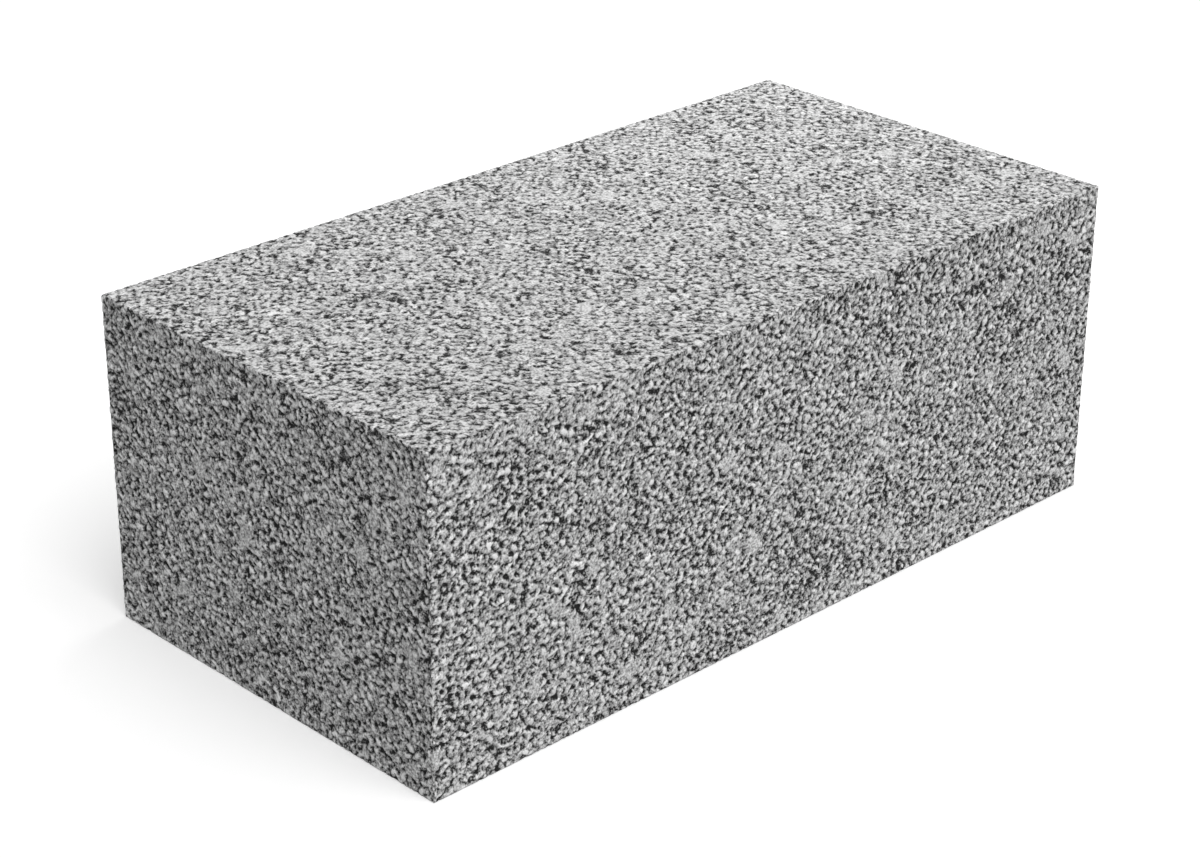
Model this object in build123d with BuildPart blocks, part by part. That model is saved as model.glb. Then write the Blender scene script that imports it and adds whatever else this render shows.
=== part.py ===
"""A solid masonry block, cast in one piece from lightweight granules bound with cement.

The block lies on its lower bed face. The origin is at the middle of that face, X runs along
the block's length in the wall, Y across the wall and Z up through the course.
"""

import os

from build123d import *

# Driving dimensions, in millimetres

# Along the wall: one module of the wall less its upright mortar joint
block_length = 490.0
# Through the wall: the wall is one block thick
block_width = 250.0
# Up the wall: one course less its bed joint
block_height = 185.0
# The four upright arrises, rounded by the corners of the mould box
upright_arris_radius = 2.0
# The arrises round both bed faces, rounded where the mix meets the pallet and the tamper
bed_arris_radius = 1.5

# The cast block
with BuildPart() as block:
    # Outline of the mould box, with its rounded corners
    with BuildSketch(Plane.XY) as mould_outline:
        Rectangle(block_length, block_width)
        fillet(mould_outline.vertices(), radius=upright_arris_radius)
    extrude(amount=block_height)
    # Both bed faces lose their sharp edge all round
    bed_faces = block.faces().filter_by(Axis.Z)
    fillet(bed_faces.edges(), radius=bed_arris_radius)

block.part.label = "block"

os.makedirs("parts", exist_ok=True)
export_step(block.part, "parts/block.step")
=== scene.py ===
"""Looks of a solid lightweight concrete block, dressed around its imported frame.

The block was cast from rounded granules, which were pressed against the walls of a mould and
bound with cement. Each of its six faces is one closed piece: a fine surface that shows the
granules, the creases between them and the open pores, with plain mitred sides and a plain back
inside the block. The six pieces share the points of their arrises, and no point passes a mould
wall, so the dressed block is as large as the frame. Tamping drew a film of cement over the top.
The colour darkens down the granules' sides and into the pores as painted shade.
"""

import logging
from collections.abc import Iterator
from dataclasses import dataclass, replace
from enum import Enum
from math import radians

import bpy
import numpy as np
from mathutils import Matrix, Vector


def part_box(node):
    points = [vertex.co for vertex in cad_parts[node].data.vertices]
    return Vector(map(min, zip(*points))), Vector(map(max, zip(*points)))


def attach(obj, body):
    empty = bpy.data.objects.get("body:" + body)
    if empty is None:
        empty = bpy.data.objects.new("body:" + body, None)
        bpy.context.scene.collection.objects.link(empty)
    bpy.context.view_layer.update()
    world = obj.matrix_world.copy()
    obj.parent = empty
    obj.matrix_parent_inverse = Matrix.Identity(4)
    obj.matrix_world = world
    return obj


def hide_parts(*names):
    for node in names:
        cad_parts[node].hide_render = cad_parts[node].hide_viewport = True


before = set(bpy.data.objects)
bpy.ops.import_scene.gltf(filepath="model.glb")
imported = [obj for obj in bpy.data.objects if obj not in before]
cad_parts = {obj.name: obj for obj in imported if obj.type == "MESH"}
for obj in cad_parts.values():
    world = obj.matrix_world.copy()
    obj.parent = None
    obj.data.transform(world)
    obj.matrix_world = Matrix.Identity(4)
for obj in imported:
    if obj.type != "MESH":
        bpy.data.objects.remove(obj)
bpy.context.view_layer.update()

LOG = logging.getLogger("concrete_block")
NODE = "block"
BODY = "root"
MM = 0.001
UP = 2
BAKE_MAP = "OFBake"
TONE_ATTRIBUTE = "tone"
DISTANCE_ATTRIBUTE = "distance"
WHITE = (1.0, 1.0, 1.0, 1.0)

Floats = np.ndarray
Whole = np.ndarray
Pair = tuple[float, float]
Triple = tuple[float, float, float]


def smooth_step(levels: Pair, value: Floats) -> Floats:
    """Rise from 0 to 1 between two levels as 3 s^2 - 2 s^3, which is level at both ends."""
    share = np.clip((value - levels[0]) / (levels[1] - levels[0]), 0.0, 1.0)
    return share * share * (3.0 - 2.0 * share)


def between(ends: Pair, share: Floats) -> Floats:
    """The value that lies a share of the way from the first end to the second."""
    return ends[0] + (ends[1] - ends[0]) * share


class Side(Enum):
    """A face of the block: the axis that it faces along, and the end of that axis it is at."""

    TOP = (2, 1)
    BOTTOM = (2, -1)
    FRONT = (1, -1)
    BACK = (1, 1)
    LEFT_END = (0, -1)
    RIGHT_END = (0, 1)

    @property
    def axis(self) -> int:
        """The axis along the face's normal."""
        return self.value[0]

    @property
    def sign(self) -> int:
        """1 where the normal points up its axis, and -1 where it points down."""
        return self.value[1]

    @property
    def across(self) -> list[int]:
        """The face's own two axes, in the order whose cross product points outwards."""
        first, second = (self.axis + 1) % 3, (self.axis + 2) % 3
        return [first, second] if self.sign > 0 else [second, first]

    @property
    def piece(self) -> str:
        """The name of the face's piece."""
        return f"cast_face_{self.name.lower()}"


@dataclass(frozen=True)
class MouldBox:
    """The inside of the mould, whose walls, pallet and tamper make the faces of the block.

    Attributes:
        low: Lowest corner, in metres.
        high: Highest corner, in metres.
    """

    low: Floats
    high: Floats

    @property
    def size(self) -> Floats:
        """Length, width and height of the block."""
        return self.high - self.low

    @property
    def middle(self) -> Floats:
        """The middle of the block."""
        return (self.low + self.high) / 2

    def level(self, side: Side) -> float:
        """Where a face lies along its own axis."""
        return (self.high if side.sign > 0 else self.low)[side.axis]

    def outward(self, points: Floats) -> Floats:
        """Sum of the normals of the faces that each point lies on: 1, 0 or -1 along each axis."""
        return (points == self.high).astype(float) - (points == self.low)

    def to_faces(self, points: Floats) -> Floats:
        """Distance along each axis from points to the nearer of its two faces."""
        return np.minimum(points - self.low, self.high - points)

    def to_arris(self, points: Floats) -> Floats:
        """Distance from points on the faces to the nearest arris: the second smallest of three."""
        return np.sort(self.to_faces(points), axis=-1)[..., 1]


@dataclass(frozen=True)
class WaveField:
    """Smooth random relief, as a sum of cosine waves that run in random directions.

    Each wave is cos(k . p + phase). Its k has a random direction and a length of two pi over its
    own wavelength, and the sum is scaled to a spread of about 1. A wave that runs nearly along
    an axis is left out, because on the faces across that axis it would show as broad stripes.

    Attributes:
        wavelength: Typical distance from crest to crest.
        seed: Seed of the random draws.
        waves: Number of waves.
        draws: Directions drawn for each wave, so that enough are left.
        wavelength_shares: Shortest and longest wave, as shares of the typical one.
        tilt_share: How much of a wave's direction may lie along one axis.
    """

    wavelength: float
    seed: int
    waves: int = 40
    draws: int = 4
    wavelength_shares: Pair = (0.75, 1.5)
    tilt_share: float = 0.88

    def at(self, points: Floats) -> Floats:
        """Add up the waves.

        Args:
            points: An (n, 3) array of places in the block's frame.

        Returns:
            One value for each place, with a mean near 0 and a spread near 1.
        """
        rng = np.random.default_rng(self.seed)
        heading = rng.normal(size=(self.draws * self.waves, 3))
        heading /= np.linalg.norm(heading, axis=1, keepdims=True)
        heading = heading[np.abs(heading).max(axis=1) < self.tilt_share][: self.waves]
        length = self.wavelength * rng.uniform(*self.wavelength_shares, self.waves)
        phase = rng.uniform(0.0, 2 * np.pi, self.waves)
        angle = points @ (heading * (2 * np.pi / length)[:, None]).T + phase
        return np.sqrt(2.0 / self.waves) * np.cos(angle).sum(axis=-1)

    def shift(self, points: Floats) -> Floats:
        """Three such sums, one along each axis, from seeds that follow each other."""
        along = [replace(self, seed=self.seed + axis).at(points) for axis in range(3)]
        return np.stack(along, axis=-1)


class CellTable:
    """Points sorted into cubic cells, so that the neighbours of a place are found as arrays."""

    def __init__(self, points: Floats, width: float) -> None:
        """Sort the points.

        Args:
            points: An (n, 3) array.
            width: Width of a cell, and the furthest that a neighbour is sure to be found.
        """
        self.width = width
        self.corner = points.min(axis=0) - 2 * width
        cells = self.cells(points)
        self.shape = cells.max(axis=0) + 3
        number = np.ravel_multi_index(cells.T, self.shape)
        order = np.argsort(number, kind="stable")
        counts = np.bincount(number, minlength=self.shape.prod())
        starts = np.cumsum(counts) - counts
        self.slots = np.full((self.shape.prod(), counts.max()), -1)
        self.slots[number[order], np.arange(len(points)) - starts[number[order]]] = order

    def cells(self, points: Floats) -> Whole:
        """The cell of each point."""
        return np.floor((points - self.corner) / self.width).astype(int)

    def neighbours(self, points: Floats) -> Iterator[tuple[Whole, Whole]]:
        """Pair places with the sorted points of the 27 cells round them.

        Args:
            points: An (n, 3) array of places.

        Yields:
            Numbers of places, each at most once, and for each of them the number of one point.
        """
        number = np.ravel_multi_index(self.cells(points).T, self.shape)
        steps = np.stack(np.meshgrid(*[(-1, 0, 1)] * 3, indexing="ij"), axis=-1).reshape(-1, 3)
        jumps = steps @ np.array([self.shape[1] * self.shape[2], self.shape[2], 1])
        for jump in jumps:
            for slot in self.slots[number + jump].T:
                filled = np.flatnonzero(slot >= 0)
                if len(filled):
                    yield filled, slot[filled]


@dataclass(frozen=True)
class Granules:
    """The granules that show at the surface.

    Attributes:
        centre: Middle of each granule's crown, on a face.
        breadth: Breadth of each granule against the commonest one.
        tone: Lightness of each granule against the commonest one.
        recess: How far each crown stops short of the face.
    """

    centre: Floats
    breadth: Floats
    tone: Floats
    recess: Floats

    def nearest(self, points: Floats, reach: float) -> tuple[Floats, Whole]:
        """Find the granule that each place belongs to.

        It is the one with the smallest distance from its middle, divided by its breadth.

        Args:
            points: An (n, 3) array of places.
            reach: Distance within which granules are looked for.

        Returns:
            That distance, as on the commonest granule, and the number of the granule.
        """
        best = np.full(len(points), reach)
        which = np.zeros(len(points), int)
        table = CellTable(self.centre, reach * self.breadth.max())
        for places, others in table.neighbours(points):
            gap = points[places] - self.centre[others]
            distance = np.linalg.norm(gap, axis=1) / self.breadth[others]
            closer = distance < best[places]
            best[places[closer]] = distance[closer]
            which[places[closer]] = others[closer]
        return best, which


@dataclass(frozen=True)
class GranuleBed:
    """How granules lie against the faces.

    Attributes:
        mould: The inside of the mould.
        pitch: Typical distance from one granule to the next.
        bed_breadth_share: Breadth of a granule that tamper or pallet flattens, against the others.
        breadth_spread_share: Spread of their breadth, as a share of itself.
        breadth_shares: Smallest and largest breadth, as shares of the commonest one.
        tone_spread_share: Spread of their lightness, as a share of itself.
        recess_spread: Spread of the depth at which crowns stop short of the face.
        cell_width: Granules along the edge of a cell that they are thrown into.
        touch_share: Distance at which two granules stop pushing, as a share of the pitch.
        push_share: Share of an overlap that one round of pushing takes away on each side.
        rounds: Rounds of pushing.
        seed: Seed of the random draws.
    """

    mould: MouldBox
    pitch: float = 4.1 * MM
    bed_breadth_share: float = 1.15
    breadth_spread_share: float = 0.2
    breadth_shares: Pair = (0.65, 1.5)
    tone_spread_share: float = 0.08
    recess_spread: float = 0.08 * MM
    cell_width: int = 2
    touch_share: float = 1.0
    push_share: float = 0.35
    rounds: int = 24
    seed: int = 23

    def flattening(self, side: Side) -> float:
        """How much broader granules are on a face than on the mould's walls."""
        return self.bed_breadth_share if side.axis == UP else 1.0

    def throw(self, side: Side, rng: np.random.Generator) -> Floats:
        """Throw the same number of granules, at random, into each square cell of one face.

        Args:
            side: The face.
            rng: Source of the random draws.

        Returns:
            An (n, 3) array of places on the face.
        """
        across = side.across
        width = self.pitch * self.flattening(side) * self.cell_width
        counts = np.round(self.mould.size[across] / width).astype(int)
        cells = np.indices(counts).reshape(2, -1).T.repeat(self.cell_width ** 2, axis=0)
        share = (cells + rng.uniform(0.0, 1.0, cells.shape)) / counts
        centre = np.empty((len(cells), 3))
        centre[:, across] = self.mould.low[across] + share * self.mould.size[across]
        centre[:, side.axis] = self.mould.level(side)
        return centre

    def pack(self) -> Granules:
        """Spread the granules over the whole block.

        In each round every granule moves away from those that it overlaps, along the face that
        it lies on. One that is pushed past an arris goes on round it, onto the next face.

        Returns:
            The granules of all six faces.
        """
        rng = np.random.default_rng(self.seed)
        thrown = [self.throw(side, rng) for side in Side]
        broader = [np.full(len(part), self.flattening(side)) for side, part in zip(Side, thrown)]
        centre = np.concatenate(thrown)
        count = len(centre)
        uneven = np.exp(rng.normal(0.0, self.breadth_spread_share, count))
        breadth = np.concatenate(broader) * np.clip(uneven, *self.breadth_shares)
        touch = self.pitch * self.touch_share
        for _ in range(self.rounds):
            shift = np.zeros_like(centre)
            for places, others in CellTable(centre, touch * breadth.max()).neighbours(centre):
                gap = centre[places] - centre[others]
                distance = np.linalg.norm(gap, axis=1)
                wanted = touch * (breadth[places] + breadth[others]) / 2
                overlap = np.where(distance > 0.0, np.maximum(wanted - distance, 0.0), 0.0)
                push = self.push_share * overlap / np.maximum(distance, MM)
                shift[places] += gap * push[:, None]
            centre = self.round_arrises(centre, shift)
        tone = np.exp(rng.normal(0.0, self.tone_spread_share, count))
        recess = np.abs(rng.normal(0.0, self.recess_spread, count))
        return Granules(centre, breadth, tone, recess)

    def round_arrises(self, centre: Floats, shift: Floats) -> Floats:
        """Move granules along their faces, and those that pass an arris down the next face.

        Args:
            centre: Places on the faces.
            shift: How far each is to move.

        Returns:
            The new places, on the faces again.
        """
        normal = self.mould.outward(centre)
        moved = centre + shift * (normal == 0.0)
        inside = np.clip(moved, self.mould.low, self.mould.high)
        past = np.abs(moved - inside).sum(axis=1)
        return inside - normal * past[:, None]


@dataclass(frozen=True)
class GrainProfile:
    """Height from a granule's crown down to the pores beside it.

    A pair of heights holds the one on a bed face, which tamper or pallet flattens, and the one
    on a wall of the mould, where granules stay round.

    Attributes:
        crease: Distance from a crown at which a granule meets the next one.
        crown_falls: How far a granule curves away from the face by there.
        pore_levels: Distances from every crown at which a pore begins and its floor is reached.
        pore_depths: Depth of the floor below the granules.
    """

    crease: float = 2.2 * MM
    crown_falls: Pair = (0.15 * MM, 0.8 * MM)
    pore_levels: Pair = (1.75 * MM, 2.8 * MM)
    pore_depths: Pair = (0.5 * MM, 0.65 * MM)

    def depth(self, distance: Floats, wall_share: Floats) -> Floats:
        """A bowl that falls with the square of the distance, and a smooth step into the pores.

        Args:
            distance: Distance from the nearest crown.
            wall_share: 0 on a bed face and 1 on a wall of the mould.

        Returns:
            Depth below the crown.
        """
        bowl = between(self.crown_falls, wall_share) * np.clip(distance / self.crease, 0.0, 1.0) ** 2
        return bowl + between(self.pore_depths, wall_share) * smooth_step(self.pore_levels, distance)


@dataclass(frozen=True)
class CastSurface:
    """The relief of the whole block, the same on both sides of each arris.

    Attributes:
        mould: The inside of the mould.
        granules: The granules of the whole block.
        profile: Height round a granule.
        reach: Distance from every crown beyond which nothing changes.
        bend: How far the outlines of granules are bent.
        bend_waves: Where they are bent.
        smear: How far cement between the granules widens or narrows them.
        smear_waves: Where it does.
        patch_distance: Distance from a crown whose height and colour a patch of cement has.
        patch_waves: Where patches of cement lie.
        patch_levels: Levels of those waves at which a patch begins and is whole.
        patch_share: How much of the granules' relief a patch fills.
        bed_reach: Distance from a bed face within which granules are flattened.
        arris_depth: Depth of the deepest pore at an arris.
        arris_slope: Depth that a pore may gain for its distance from the arris.
        arris_wear: How far the arris itself is worn back.
        arris_reach: Distance from the arris at which the wear ends.
    """

    mould: MouldBox
    granules: Granules
    profile: GrainProfile = GrainProfile()
    reach: float = 2.4 * MM
    bend: float = 0.75 * MM
    bend_waves: WaveField = WaveField(4.0 * MM, seed=14)
    smear: float = 0.35 * MM
    smear_waves: WaveField = WaveField(3.4 * MM, seed=18, waves=160)
    patch_distance: float = 1.15 * MM
    patch_waves: WaveField = WaveField(17.0 * MM, seed=17)
    patch_levels: Pair = (1.3, 2.4)
    patch_share: float = 0.75
    bed_reach: float = 8.0 * MM
    arris_depth: float = 0.5 * MM
    arris_slope: float = 0.8
    arris_wear: float = 0.25 * MM
    arris_reach: float = 1.3 * MM

    def relief(self, points: Floats) -> tuple[Floats, Floats, Floats]:
        """Shape and lightness of the surface.

        The distance from the nearest crown, uneven by the smeared cement, gives the depth. A
        patch of cement draws that distance to its own, and an arris limits the depth.

        Args:
            points: An (n, 3) array of places on the faces.

        Returns:
            The depth behind the face, the distance from the nearest crown, and the lightness of
            its granule.
        """
        bent = points + self.bend * self.bend_waves.shift(points)
        distance, which = self.granules.nearest(bent, self.reach)
        distance += self.smear * self.smear_waves.at(points)
        patch = self.patch_share * smooth_step(self.patch_levels, self.patch_waves.at(points))
        distance += (self.patch_distance - distance) * patch
        tone = 1.0 + (self.granules.tone[which] - 1.0) * (1.0 - patch)
        wall_share = smooth_step((0.0, self.bed_reach), self.mould.to_faces(points)[:, UP])
        recess = self.granules.recess[which] * (1.0 - patch)
        depth = recess + self.profile.depth(distance, wall_share)
        to_arris = self.mould.to_arris(points)
        wear = self.arris_wear * (1.0 - smooth_step((0.0, self.arris_reach), to_arris))
        limit = self.arris_depth + self.arris_slope * to_arris
        return np.maximum(np.minimum(depth, limit), wear), distance, tone


def new_piece(name: str, vertices: Floats, loops: Whole, corners: Whole) -> bpy.types.Object:
    """Make a mesh object from whole arrays.

    Args:
        name: Name of the piece.
        vertices: Points in the block's frame.
        loops: Vertex numbers of all faces, one face after the other.
        corners: Number of corners of each face.

    Returns:
        The object, at the origin, linked to the scene.
    """
    mesh = bpy.data.meshes.new(name)
    mesh.vertices.add(len(vertices))
    mesh.vertices.foreach_set("co", vertices.astype(np.float32).ravel())
    mesh.loops.add(len(loops))
    mesh.loops.foreach_set("vertex_index", loops.astype(np.int32))
    mesh.polygons.add(len(corners))
    starts = np.cumsum(corners) - corners
    mesh.polygons.foreach_set("loop_start", starts.astype(np.int32))
    mesh.update(calc_edges=True)
    piece = bpy.data.objects.new(name, mesh)
    bpy.context.scene.collection.objects.link(piece)
    return piece


def set_attribute(piece: bpy.types.Object, name: str, values: Floats) -> None:
    """Store one value for each vertex of a piece under a name that its material reads."""
    attribute = piece.data.attributes.new(name, "FLOAT", "POINT")
    attribute.data.foreach_set("value", values.astype(np.float32))


def set_bake_map(piece: bpy.types.Object, places: Floats) -> None:
    """Give a piece its own flat map, one place from 0 to 1 for each corner of each face."""
    layer = piece.data.uv_layers.new(name=BAKE_MAP)
    layer.data.foreach_set("uv", places.astype(np.float32).ravel())


@dataclass(frozen=True)
class CementFilm:
    """A thin film of cement that tamping draws over a face, which reshapes the painted shade
    there: the crowns' lightest colour is cut off, the painted shade falls faster down the granules'
    sides, and the pores stay dark with painted shade.

    Attributes:
        crown_distance: Least distance from a crown whose painted shade the colour shows.
        pore_distance: Distance from every crown at which the film ends.
        steepness: How many times faster than on bare granules the painted shade falls towards there.
        tone: Lightness of the film against that of a crown.
    """

    crown_distance: float = 0.8 * MM
    pore_distance: float = 2.5 * MM
    steepness: float = 1.28
    tone: float = 0.86

    def cover(self, distance: Floats, tone: Floats) -> tuple[Floats, Floats]:
        """Stretch the distance away from the pores' own, down to the least one, and dim the tone."""
        fallen = self.pore_distance + (distance - self.pore_distance) * self.steepness
        return np.maximum(fallen, self.crown_distance), tone * self.tone


@dataclass(frozen=True)
class CastFace:
    """One face of the block, as a closed piece with a fine outer surface.

    Attributes:
        surface: The relief of the whole block.
        side: The face.
        film: The film of cement over the whole face, if there is one.
        spacing: Distance between the points of the surface along each axis.
        jitter_share: How far points wander along the face, as a share of the spacing.
        jitter_waves: Where they wander.
        wall: Thickness of the piece.
        map_strip_share: Share of the flat map that is kept for the hidden sides and back.
    """

    surface: CastSurface
    side: Side
    film: CementFilm | None = None
    spacing: Triple = (1.13 * MM, 1.13 * MM, 0.84 * MM)
    jitter_share: float = 0.2
    jitter_waves: WaveField = WaveField(2.5 * MM, seed=11)
    wall: float = 8.0 * MM
    map_strip_share: float = 0.03

    @property
    def mould(self) -> MouldBox:
        """The inside of the mould."""
        return self.surface.mould

    def lattice(self) -> Floats:
        """Spread points evenly over the face.

        Returns:
            The points, as an array of row, column and axis.
        """
        low, high = self.mould.low, self.mould.high
        steps = np.round(self.mould.size / self.spacing).astype(int)
        rows, columns = self.side.across
        points = np.empty((steps[rows] + 1, steps[columns] + 1, 3))
        points[..., rows] = np.linspace(low[rows], high[rows], steps[rows] + 1)[:, None]
        points[..., columns] = np.linspace(low[columns], high[columns], steps[columns] + 1)
        points[..., self.side.axis] = self.mould.level(self.side)
        return points

    def wander(self, points: Floats) -> Floats:
        """Shift points a little along the faces that they lie on, so that no row shows.

        Args:
            points: An (n, 3) array of places on the faces.

        Returns:
            The new places. One at a corner stays, and one on an arris stays on it.
        """
        shift = self.jitter_share * np.array(self.spacing) * self.jitter_waves.shift(points)
        moved = points + shift * (self.mould.outward(points) == 0.0)
        return np.clip(moved, self.mould.low, self.mould.high)

    @staticmethod
    def rim(number: Whole) -> Whole:
        """Outermost of the lattice's numbers, in order round the face, seen from outside."""
        return np.concatenate([number[:-1, 0], number[-1, :-1], number[:0:-1, -1], number[0, :0:-1]])

    @staticmethod
    def quads(number: Whole, distance: Floats) -> Whole:
        """Corners of the cells between neighbouring points.

        A cell is split along the line from its first corner to its third. Its corners are turned
        on by one where the other two are more alike in distance, so that creases stay whole.

        Args:
            number: Numbers of the points by row and column.
            distance: Distance from the nearest crown at each point.

        Returns:
            An (n, 4) array of numbers, anticlockwise seen from outside.
        """
        corners = [number[:-1, :-1], number[1:, :-1], number[1:, 1:], number[:-1, 1:]]
        quads = np.stack(corners, axis=-1).reshape(-1, 4)
        value = distance[quads]
        first_split = np.abs(value[:, 0] - value[:, 2])
        second_split = np.abs(value[:, 1] - value[:, 3])
        turned = second_split < first_split
        quads[turned] = np.roll(quads[turned], 1, axis=-1)
        return quads

    def build(self) -> bpy.types.Object:
        """Make the piece: outer surface, mitred sides and back.

        The sides run from the rim of the outer surface to the same rim of a smaller box with the
        same middle, so the pieces of two faces meet at half the angle of their arris.

        Returns:
            The piece, with what its material reads and its flat map.
        """
        lattice = self.lattice()
        number = np.arange(lattice[..., 0].size).reshape(lattice.shape[:2])
        flat = self.wander(lattice.reshape(-1, 3))
        depth, distance, tone = self.surface.relief(flat)
        outer = flat - self.mould.outward(flat) * depth[:, None]
        rim = self.rim(number)
        shrink = 1.0 - 2 * self.wall / self.mould.size
        inner = self.mould.middle + (flat[rim] - self.mould.middle) * shrink

        quads = self.quads(number, distance)
        back = len(outer) + np.arange(len(rim))
        sides = np.stack([rim, back, np.roll(back, -1), np.roll(rim, -1)], axis=-1)
        loops = np.concatenate([quads.ravel(), sides.ravel(), back[::-1]])
        corners = np.append(np.full(len(quads) + len(sides), 4), len(back))
        piece = new_piece(self.side.piece, np.concatenate([outer, inner]), loops, corners)
        piece.data.polygons.foreach_set("use_smooth", np.arange(len(corners)) < len(quads))

        # The material turns the distance into painted shade on the granules' sides and in the pores;
        # on the top the film reshapes it.
        if self.film is not None:
            distance, tone = self.film.cover(distance, tone)
        set_attribute(piece, TONE_ATTRIBUTE, np.concatenate([tone, tone[rim]]))
        set_attribute(piece, DISTANCE_ATTRIBUTE, np.concatenate([distance, distance[rim]]))
        set_bake_map(piece, self.map_places(flat, rim, quads))
        return piece

    def map_places(self, flat: Floats, rim: Whole, quads: Whole) -> Floats:
        """Flat map of all corners: the outer surface, and under it a narrow strip for the rest.

        The lowest third of the strip holds the sides, side by side, and the next third the back.

        Args:
            flat: Points of the outer surface on the face.
            rim: Numbers of its outermost points.
            quads: Corners of the outer surface.

        Returns:
            Places from 0 to 1, one for each corner.
        """
        across = self.side.across
        share = (flat[:, across] - self.mould.low[across]) / self.mould.size[across]
        surface = share * [1.0, 1.0 - self.map_strip_share] + [0.0, self.map_strip_share]
        third = self.map_strip_share / 3
        edges = np.linspace(0.0, 1.0, len(rim) + 1)
        left, right = edges[:-1], edges[1:]
        along = np.stack([left, left, right, right], axis=-1)
        above = np.broadcast_to([0.0, third, third, 0.0], along.shape)
        sides = np.stack([along, above], axis=-1).reshape(-1, 2)
        back = share[rim][::-1] * [1.0, third] + [0.0, third]
        return np.concatenate([surface[quads.ravel()], sides, back])


class ShaderTree:
    """Nodes of one material or world, added one effect at a time."""

    def __init__(self, owner: bpy.types.Material | bpy.types.World) -> None:
        """Turn an owner's nodes on and take hold of them.

        Args:
            owner: The material or the world.
        """
        owner.use_nodes = True
        self.nodes = owner.node_tree.nodes
        self.links = owner.node_tree.links

    def feed(self, socket: bpy.types.NodeSocket, value: float | bpy.types.NodeSocket) -> None:
        """Give an input a plain number, or link it to an output.

        Args:
            socket: The input.
            value: The number or the output.
        """
        if isinstance(value, bpy.types.NodeSocket):
            self.links.new(value, socket)
        else:
            socket.default_value = value

    def attribute(self, name: str) -> bpy.types.NodeSocket:
        """Read a value that is stored with the mesh.

        Args:
            name: The name that it is stored under.

        Returns:
            The output that gives the value.
        """
        node = self.nodes.new("ShaderNodeAttribute")
        node.attribute_name = name
        return node.outputs["Fac"]

    def noise(self, size: float, detail: float, harshness: float) -> bpy.types.NodeSocket:
        """Noise from 0 to 1 on Object coordinates.

        Args:
            size: Size of its coarsest grain, in metres.
            detail: Octaves of finer grain.
            harshness: Strength of each octave against the one before.

        Returns:
            The output that gives the noise.
        """
        place = self.nodes.new("ShaderNodeTexCoord")
        node = self.nodes.new("ShaderNodeTexNoise")
        self.feed(node.inputs["Vector"], place.outputs["Object"])
        self.feed(node.inputs["Scale"], 1.0 / size)
        self.feed(node.inputs["Detail"], detail)
        self.feed(node.inputs["Roughness"], harshness)
        return node.outputs["Fac"]

    def math(
        self, operation: str, first: bpy.types.NodeSocket, second: float | bpy.types.NodeSocket
    ) -> bpy.types.NodeSocket:
        """Work out one sum on two values.

        Args:
            operation: The kind of sum.
            first: Output that gives the first value.
            second: The second value, or the output that gives it.

        Returns:
            The output that gives the result.
        """
        node = self.nodes.new("ShaderNodeMath")
        node.operation = operation
        self.feed(node.inputs[0], first)
        self.feed(node.inputs[1], second)
        return node.outputs["Value"]

    def spread(self, value: bpy.types.NodeSocket, levels: Pair, limits: Pair) -> bpy.types.NodeSocket:
        """Turn a range of levels evenly into a range of values, with no value past either limit.

        Args:
            value: Output that gives the level.
            levels: Levels that the two limits belong to.
            limits: Values at those levels.

        Returns:
            The output that gives the value.
        """
        node = self.nodes.new("ShaderNodeMapRange")
        names = ("From Min", "From Max", "To Min", "To Max")
        for name, number in zip(names, (*levels, *limits)):
            self.feed(node.inputs[name], number)
        self.feed(node.inputs["Value"], value)
        return node.outputs["Result"]

    def where_seen(self, unseen: float, seen: float) -> bpy.types.NodeSocket:
        """Choose a value by whether light comes to the eye, straight or by way of a reflection.

        Args:
            unseen: Value for light that falls on the block.
            seen: Value for what the camera sees, also mirrored or through glass.

        Returns:
            The output that gives the value.
        """
        path = self.nodes.new("ShaderNodeLightPath")
        straight = path.outputs["Is Camera Ray"]
        mirrored = self.math("MAXIMUM", straight, path.outputs["Is Glossy Ray"])
        either = self.math("MAXIMUM", mirrored, path.outputs["Is Transmission Ray"])
        return self.spread(either, (0.0, 1.0), (unseen, seen))


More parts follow.
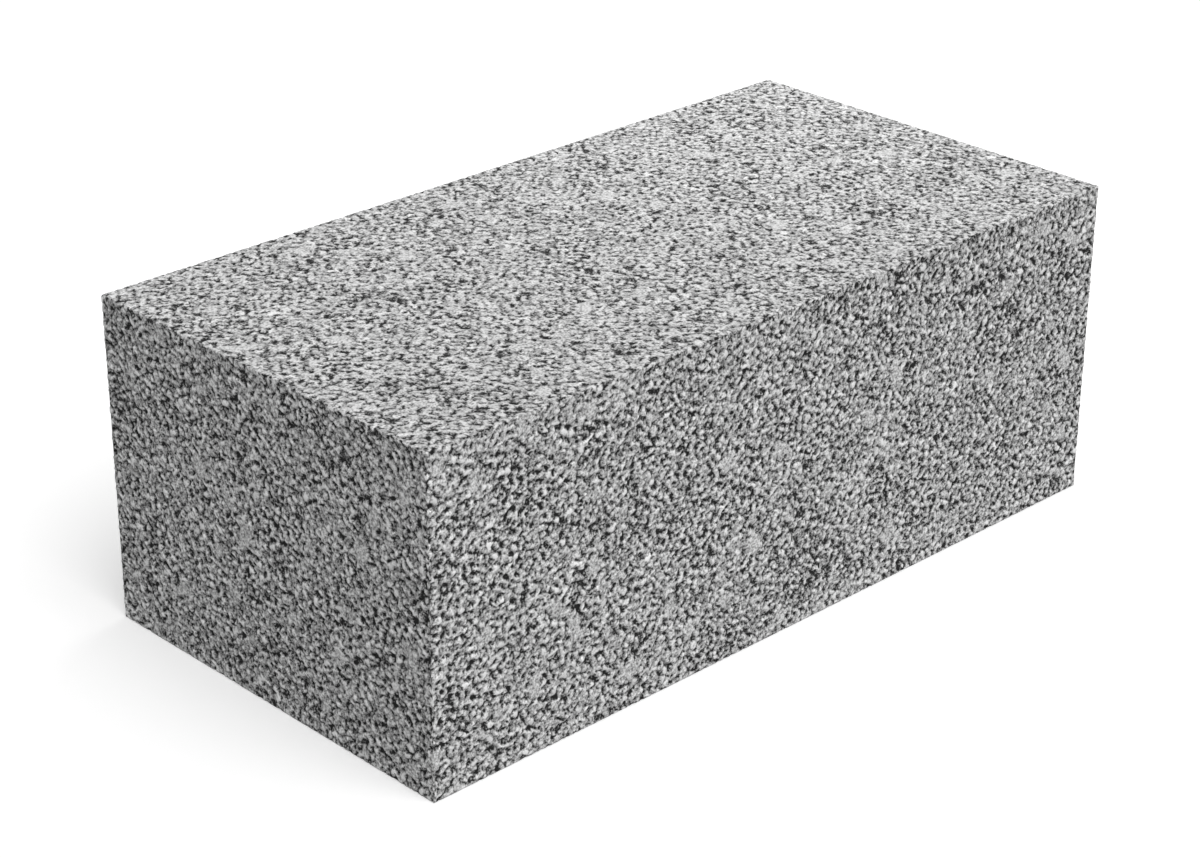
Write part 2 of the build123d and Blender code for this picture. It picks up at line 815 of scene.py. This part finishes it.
@dataclass(frozen=True)
class ConcreteFinish:
    """Dull grey cement over granules, light on the crowns, with painted shade that darkens the
    colour down the granules' sides and deep into the pores.

    Attributes:
        name: Name of the material.
        crown_tone: Colour of a crown.
        painted_pore_shade: Colour of the floor of a pore, a painted shade for the dark of a deep
            pore.
        shade_fall_levels: Distances from a crown at which its painted shade begins and is darkest.
        grain_size: Size of the sandy grain.
        grain_detail: Octaves of finer grain.
        grain_harshness_share: Strength of each finer octave, as a share of the one before.
        grain_levels: Levels of the grain's noise that its limits belong to.
        grain_shifts: How far the grain shifts creases and the edges of pores.
        roughness_limits: Roughness of the darkest and the lightest grain.
        grain_height: Height of the grain's relief.
        shine: Strength of the dull reflection.
    """

    name: str = "open_textured_concrete"
    crown_tone: float = 0.84
    painted_pore_shade: float = 0.015
    shade_fall_levels: Pair = (0.64 * MM, 2.37 * MM)
    grain_size: float = 1.3 * MM
    grain_detail: float = 4.0
    grain_harshness_share: float = 0.6
    grain_levels: Pair = (0.25, 0.75)
    grain_shifts: Pair = (-1.2 * MM, 1.2 * MM)
    roughness_limits: Pair = (0.86, 0.98)
    grain_height: float = 0.1 * MM
    shine: float = 0.2

    def material(self) -> bpy.types.Material:
        """Build the node material.

        The grain's noise is added to the distance from the nearest crown. The colour falls evenly
        with that sum, as painted shade down the granules' sides and into the pores, and is
        multiplied by the lightness of the granule.

        Returns:
            The material.
        """
        material = bpy.data.materials.new(self.name)
        tree = ShaderTree(material)
        shader = tree.nodes["Principled BSDF"]
        grain = tree.noise(self.grain_size, self.grain_detail, self.grain_harshness_share)
        shift = tree.spread(grain, self.grain_levels, self.grain_shifts)
        distance = tree.math("ADD", tree.attribute(DISTANCE_ATTRIBUTE), shift)
        # painted shade: the colour falls from the crown's to the dark of a deep pore as the distance
        # from the crown grows
        colour = tree.spread(distance, self.shade_fall_levels, (self.crown_tone, self.painted_pore_shade))
        toned = tree.math("MULTIPLY", colour, tree.attribute(TONE_ATTRIBUTE))
        dullness = tree.spread(grain, self.grain_levels, self.roughness_limits)
        bump = tree.nodes.new("ShaderNodeBump")
        tree.feed(bump.inputs["Distance"], self.grain_height)
        tree.feed(bump.inputs["Height"], grain)
        tree.feed(shader.inputs["Base Color"], toned)
        tree.feed(shader.inputs["Roughness"], dullness)
        tree.feed(shader.inputs["Normal"], bump.outputs["Normal"])
        tree.feed(shader.inputs["Specular IOR Level"], self.shine)
        return material


@dataclass(frozen=True)
class CastBlock:
    """The whole block: six cast faces in one finish.

    Attributes:
        mould: The inside of the mould.
        finish: The finish of all faces.
        tamped_film: The film of cement over the top.
    """

    mould: MouldBox
    finish: ConcreteFinish = ConcreteFinish()
    tamped_film: CementFilm = CementFilm()

    def build(self) -> None:
        """Make, dress and report the six faces in order."""
        surface = CastSurface(self.mould, GranuleBed(self.mould).pack())
        material = self.finish.material()
        for side in Side:
            film = self.tamped_film if side is Side.TOP else None
            piece = CastFace(surface, side, film).build()
            self.dress(piece, material)

    @staticmethod
    def dress(piece: bpy.types.Object, material: bpy.types.Material) -> None:
        """Give a face its finish, set it in the node's place, tie it to the body and report it.

        Args:
            piece: The face.
            material: The finish.
        """
        piece.data.materials.append(material)
        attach(piece, BODY)
        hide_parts(NODE)
        triangles = len(piece.data.loops) - 2 * len(piece.data.polygons)
        LOG.info("%s: %d vertices, %d triangles", piece.name, len(piece.data.vertices), triangles)


@dataclass(frozen=True)
class PhotoCamera:
    """The camera at the photograph's place and angle.

    Attributes:
        name: Name of the camera.
        place: Camera position in the block's frame, in metres.
        azimuth: Heading of the view, turned from +Y towards +X, in degrees.
        dip: How far the view looks down, in degrees.
        roll: Turn of the picture about the view, in degrees.
        focal_share: Focal length as a share of the picture's width.
        sensor_width: Width of the sensor, in millimetres.
    """

    name: str = "photo_camera"
    place: Triple = (-0.99884, -1.01892, 0.75546)
    azimuth: float = 43.955
    dip: float = 25.562
    roll: float = 0.264
    focal_share: float = 2.42388
    sensor_width: float = 36.0

    def build(self) -> None:
        """Make the camera and give it to the scene."""
        data = bpy.data.cameras.new(self.name)
        data.sensor_fit = "HORIZONTAL"
        data.sensor_width = self.sensor_width
        data.lens = self.focal_share * self.sensor_width
        camera = bpy.data.objects.new(self.name, data)
        bpy.context.scene.collection.objects.link(camera)
        turn = Matrix.Rotation(-radians(self.azimuth), 4, "Z")
        lean = Matrix.Rotation(radians(90.0 - self.dip), 4, "X")
        spin = Matrix.Rotation(radians(self.roll), 4, "Z")
        camera.matrix_world = Matrix.Translation(Vector(self.place)) @ turn @ lean @ spin
        bpy.context.scene.camera = camera
        LOG.info("%s: lens %.1f mm", self.name, data.lens)


@dataclass(frozen=True)
class SoftStudio:
    """White floor, even light from all round, one broad lamp and one small panel.

    Attributes:
        sky: Strength of the even light.
        lamp_share: Light of the lamp on a surface that faces it, where 1 shows a colour as it is.
        lamp_from: Direction that the lamp shines from.
        lamp_softness: Angle that the lamp covers, in degrees.
        panel_place: Middle of a small panel that lights the top from its right rear.
        panel_size: Width of the panel.
        panel_power: Power of the panel in watts.
        floor_tone: Colour of the floor as it is seen.
        floor_bounce: Colour of the floor for the light that it throws back at the block.
        floor_lift: Light that the floor adds where it is seen, so that it shows white.
        floor_reach: Half the width of the floor.
    """

    sky: float = 0.4
    lamp_share: float = 0.7
    lamp_from: Triple = (-0.13, -0.65, 0.84)
    lamp_softness: float = 60.0
    panel_place: Triple = (0.34, 0.22, 0.7)
    panel_size: float = 0.3
    panel_power: float = 1.15
    floor_tone: float = 0.9
    floor_bounce: float = 0.4
    floor_lift: float = 0.22
    floor_reach: float = 8.0

    def build(self) -> None:
        """Make the lamp, the panel, the sky and the floor."""
        self.light_lamp()
        self.light_panel()
        self.light_sky()
        self.lay_floor()

    def light_lamp(self) -> None:
        """One broad distant lamp."""
        data = bpy.data.lights.new("broad_lamp", "SUN")
        data.energy = self.lamp_share * np.pi
        data.angle = radians(self.lamp_softness)
        lamp = bpy.data.objects.new("broad_lamp", data)
        bpy.context.scene.collection.objects.link(lamp)
        lamp.rotation_euler = Vector(self.lamp_from).to_track_quat("Z", "Y").to_euler()

    def light_panel(self) -> None:
        """One small panel that faces straight down."""
        data = bpy.data.lights.new("small_panel", "AREA")
        data.energy = self.panel_power
        data.size = self.panel_size
        panel = bpy.data.objects.new("small_panel", data)
        bpy.context.scene.collection.objects.link(panel)
        panel.location = self.panel_place

    def light_sky(self) -> None:
        """Even light from all round, which the camera sees as plain white."""
        world = bpy.data.worlds.new("studio")
        bpy.context.scene.world = world
        tree = ShaderTree(world)
        background = tree.nodes["Background"]
        background.inputs["Color"].default_value = WHITE
        tree.feed(background.inputs["Strength"], tree.where_seen(self.sky, 1.0))

    def lay_floor(self) -> None:
        """A wide white floor that keeps the block's soft shadow."""
        square = np.array([[-1, -1, 0], [1, -1, 0], [1, 1, 0], [-1, 1, 0]])
        floor = new_piece("floor", self.floor_reach * square, np.arange(4), np.array([4]))
        material = bpy.data.materials.new("white_floor")
        tree = ShaderTree(material)
        shader = tree.nodes["Principled BSDF"]
        shader.inputs["Emission Color"].default_value = WHITE
        tree.feed(shader.inputs["Roughness"], 1.0)
        tree.feed(shader.inputs["Specular IOR Level"], 0.0)
        tree.feed(shader.inputs["Base Color"], tree.where_seen(self.floor_bounce, self.floor_tone))
        tree.feed(shader.inputs["Emission Strength"], tree.where_seen(0.0, self.floor_lift))
        floor.data.materials.append(material)


def main() -> None:
    """Build the block, the camera and the studio in order."""
    logging.basicConfig(level=logging.INFO, format="%(name)s: %(message)s")
    bpy.context.scene.view_settings.view_transform = "Standard"
    low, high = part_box(NODE)
    CastBlock(MouldBox(np.array(low), np.array(high))).build()
    PhotoCamera().build()
    SoftStudio().build()


if __name__ == "__main__":
    main()
